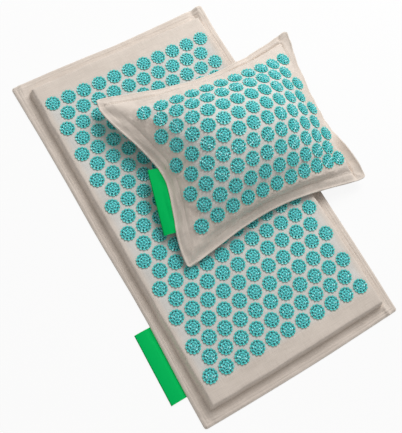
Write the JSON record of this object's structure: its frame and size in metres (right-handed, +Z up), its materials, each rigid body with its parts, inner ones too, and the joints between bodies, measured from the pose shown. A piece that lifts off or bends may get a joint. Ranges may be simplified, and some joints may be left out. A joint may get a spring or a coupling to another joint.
{
  "type": "acupressure mat",
  "caption": "Flat linen acupressure mat with rows of moulded plastic lotus discs, with its matching crowned pillow lying across it.",
  "frame": {"origin": "centre of the mat's flat underside, where it lies on the floor", "axes": "+Z up, +Y along the mat's long side towards the end beyond the pillow, +X across the mat towards the side that the pillow hangs over"},
  "size_m": [0.5765, 0.74, 0.1316],
  "materials": {
    "linen": "natural undyed linen, plain weave, matte",
    "lotus_plastic": "turquoise moulded polystyrene, glossy",
    "ribbon": "green woven ribbon, slight sheen, bare",
    "coir": "latexed coconut fibre pad",
    "hulls": "loose buckwheat hulls",
    "zip_tape": "woven zip tape, natural",
    "zip_teeth": "nylon zip coil, natural",
    "zip_metal": "plated zip slider, pull and stops"
  },
  "bodies": {
    "mat": {"mat_top_panel": "linen", "mat_bottom_panel": "linen", "mat_coir_core": "coir", "mat_lotus_row_01": "lotus_plastic", "mat_lotus_row_02": "lotus_plastic", "mat_lotus_row_03": "lotus_plastic", "mat_lotus_row_04": "lotus_plastic", "mat_lotus_row_05": "lotus_plastic", "mat_lotus_row_06": "lotus_plastic", "mat_lotus_row_07": "lotus_plastic", "mat_lotus_row_08": "lotus_plastic", "mat_lotus_row_09": "lotus_plastic", "mat_lotus_row_10": "lotus_plastic", "mat_lotus_row_11": "lotus_plastic", "mat_lotus_row_12": "lotus_plastic", "mat_lotus_row_13": "lotus_plastic", "mat_lotus_row_14": "lotus_plastic", "mat_lotus_row_15": "lotus_plastic", "mat_lotus_row_16": "lotus_plastic", "mat_lotus_row_17": "lotus_plastic", "mat_lotus_row_18": "lotus_plastic", "mat_lotus_row_19": "lotus_plastic", "mat_lotus_row_20": "lotus_plastic", "mat_lotus_row_21": "lotus_plastic", "mat_zip_tape_left": "zip_tape", "mat_zip_tape_right": "zip_tape", "mat_zip_teeth_left": "zip_teeth", "mat_zip_teeth_right": "zip_teeth", "mat_zip_top_stop": "zip_metal", "mat_zip_bottom_stop": "zip_metal"},
    "mat_label": {"mat_label": "ribbon"},
    "mat_zip_slider": {"mat_zip_slider": "zip_metal"},
    "mat_zip_pull": {"mat_zip_pull": "zip_metal"},
    "pillow": {"pillow_top_panel": "linen", "pillow_bottom_panel": "linen", "pillow_hull_fill": "hulls", "pillow_lotus_row_01": "lotus_plastic", "pillow_lotus_row_02": "lotus_plastic", "pillow_lotus_row_03": "lotus_plastic", "pillow_lotus_row_04": "lotus_plastic", "pillow_lotus_row_05": "lotus_plastic", "pillow_lotus_row_06": "lotus_plastic", "pillow_lotus_row_07": "lotus_plastic", "pillow_lotus_row_08": "lotus_plastic", "pillow_lotus_row_09": "lotus_plastic", "pillow_zip_tape_left": "zip_tape", "pillow_zip_tape_right": "zip_tape", "pillow_zip_teeth_left": "zip_teeth", "pillow_zip_teeth_right": "zip_teeth", "pillow_zip_top_stop": "zip_metal", "pillow_zip_bottom_stop": "zip_metal"},
    "pillow_label": {"pillow_label": "ribbon"},
    "pillow_zip_slider": {"pillow_zip_slider": "zip_metal"},
    "pillow_zip_pull": {"pillow_zip_pull": "zip_metal"}
  },
  "joints": [
    {"name": "mat_zip_slide", "type": "slide", "parent": "mat", "child": "mat_zip_slider", "axis": [-1, 0, 0], "range_m": [0, 0.257]},
    {"name": "mat_pull_hinge", "type": "hinge", "parent": "mat_zip_slider", "child": "mat_zip_pull", "pos_m": [0.1285, -0.3, 0.0014], "axis": [0, -1, 0], "range_deg": [0, 170]},
    {"name": "mat_label_lift", "type": "hinge", "parent": "mat", "child": "mat_label", "pos_m": [-0.21575, -0.235, 0.00075], "axis": [0, 1, 0], "range_deg": [0, 90]},
    {"name": "pillow_lift", "type": "slide", "parent": "mat", "child": "pillow", "axis": [0, 0, 1], "range_m": [0, 0.25]},
    {"name": "pillow_zip_slide", "type": "slide", "parent": "pillow", "child": "pillow_zip_slider", "axis": [0, -1, 0], "range_m": [0, 0.137]},
    {"name": "pillow_pull_hinge", "type": "hinge", "parent": "pillow_zip_slider", "child": "pillow_zip_pull", "pos_m": [0.235, 0.1232, 0.0297], "axis": [1, 0, 0], "range_deg": [-90, 80]},
    {"name": "pillow_label_lift", "type": "hinge", "parent": "pillow", "child": "pillow_label", "pos_m": [-0.07735, 0.01577, 0.04951], "axis": [0.2424, 0.965, 0.1002], "range_deg": [0, 100]}
  ]
}
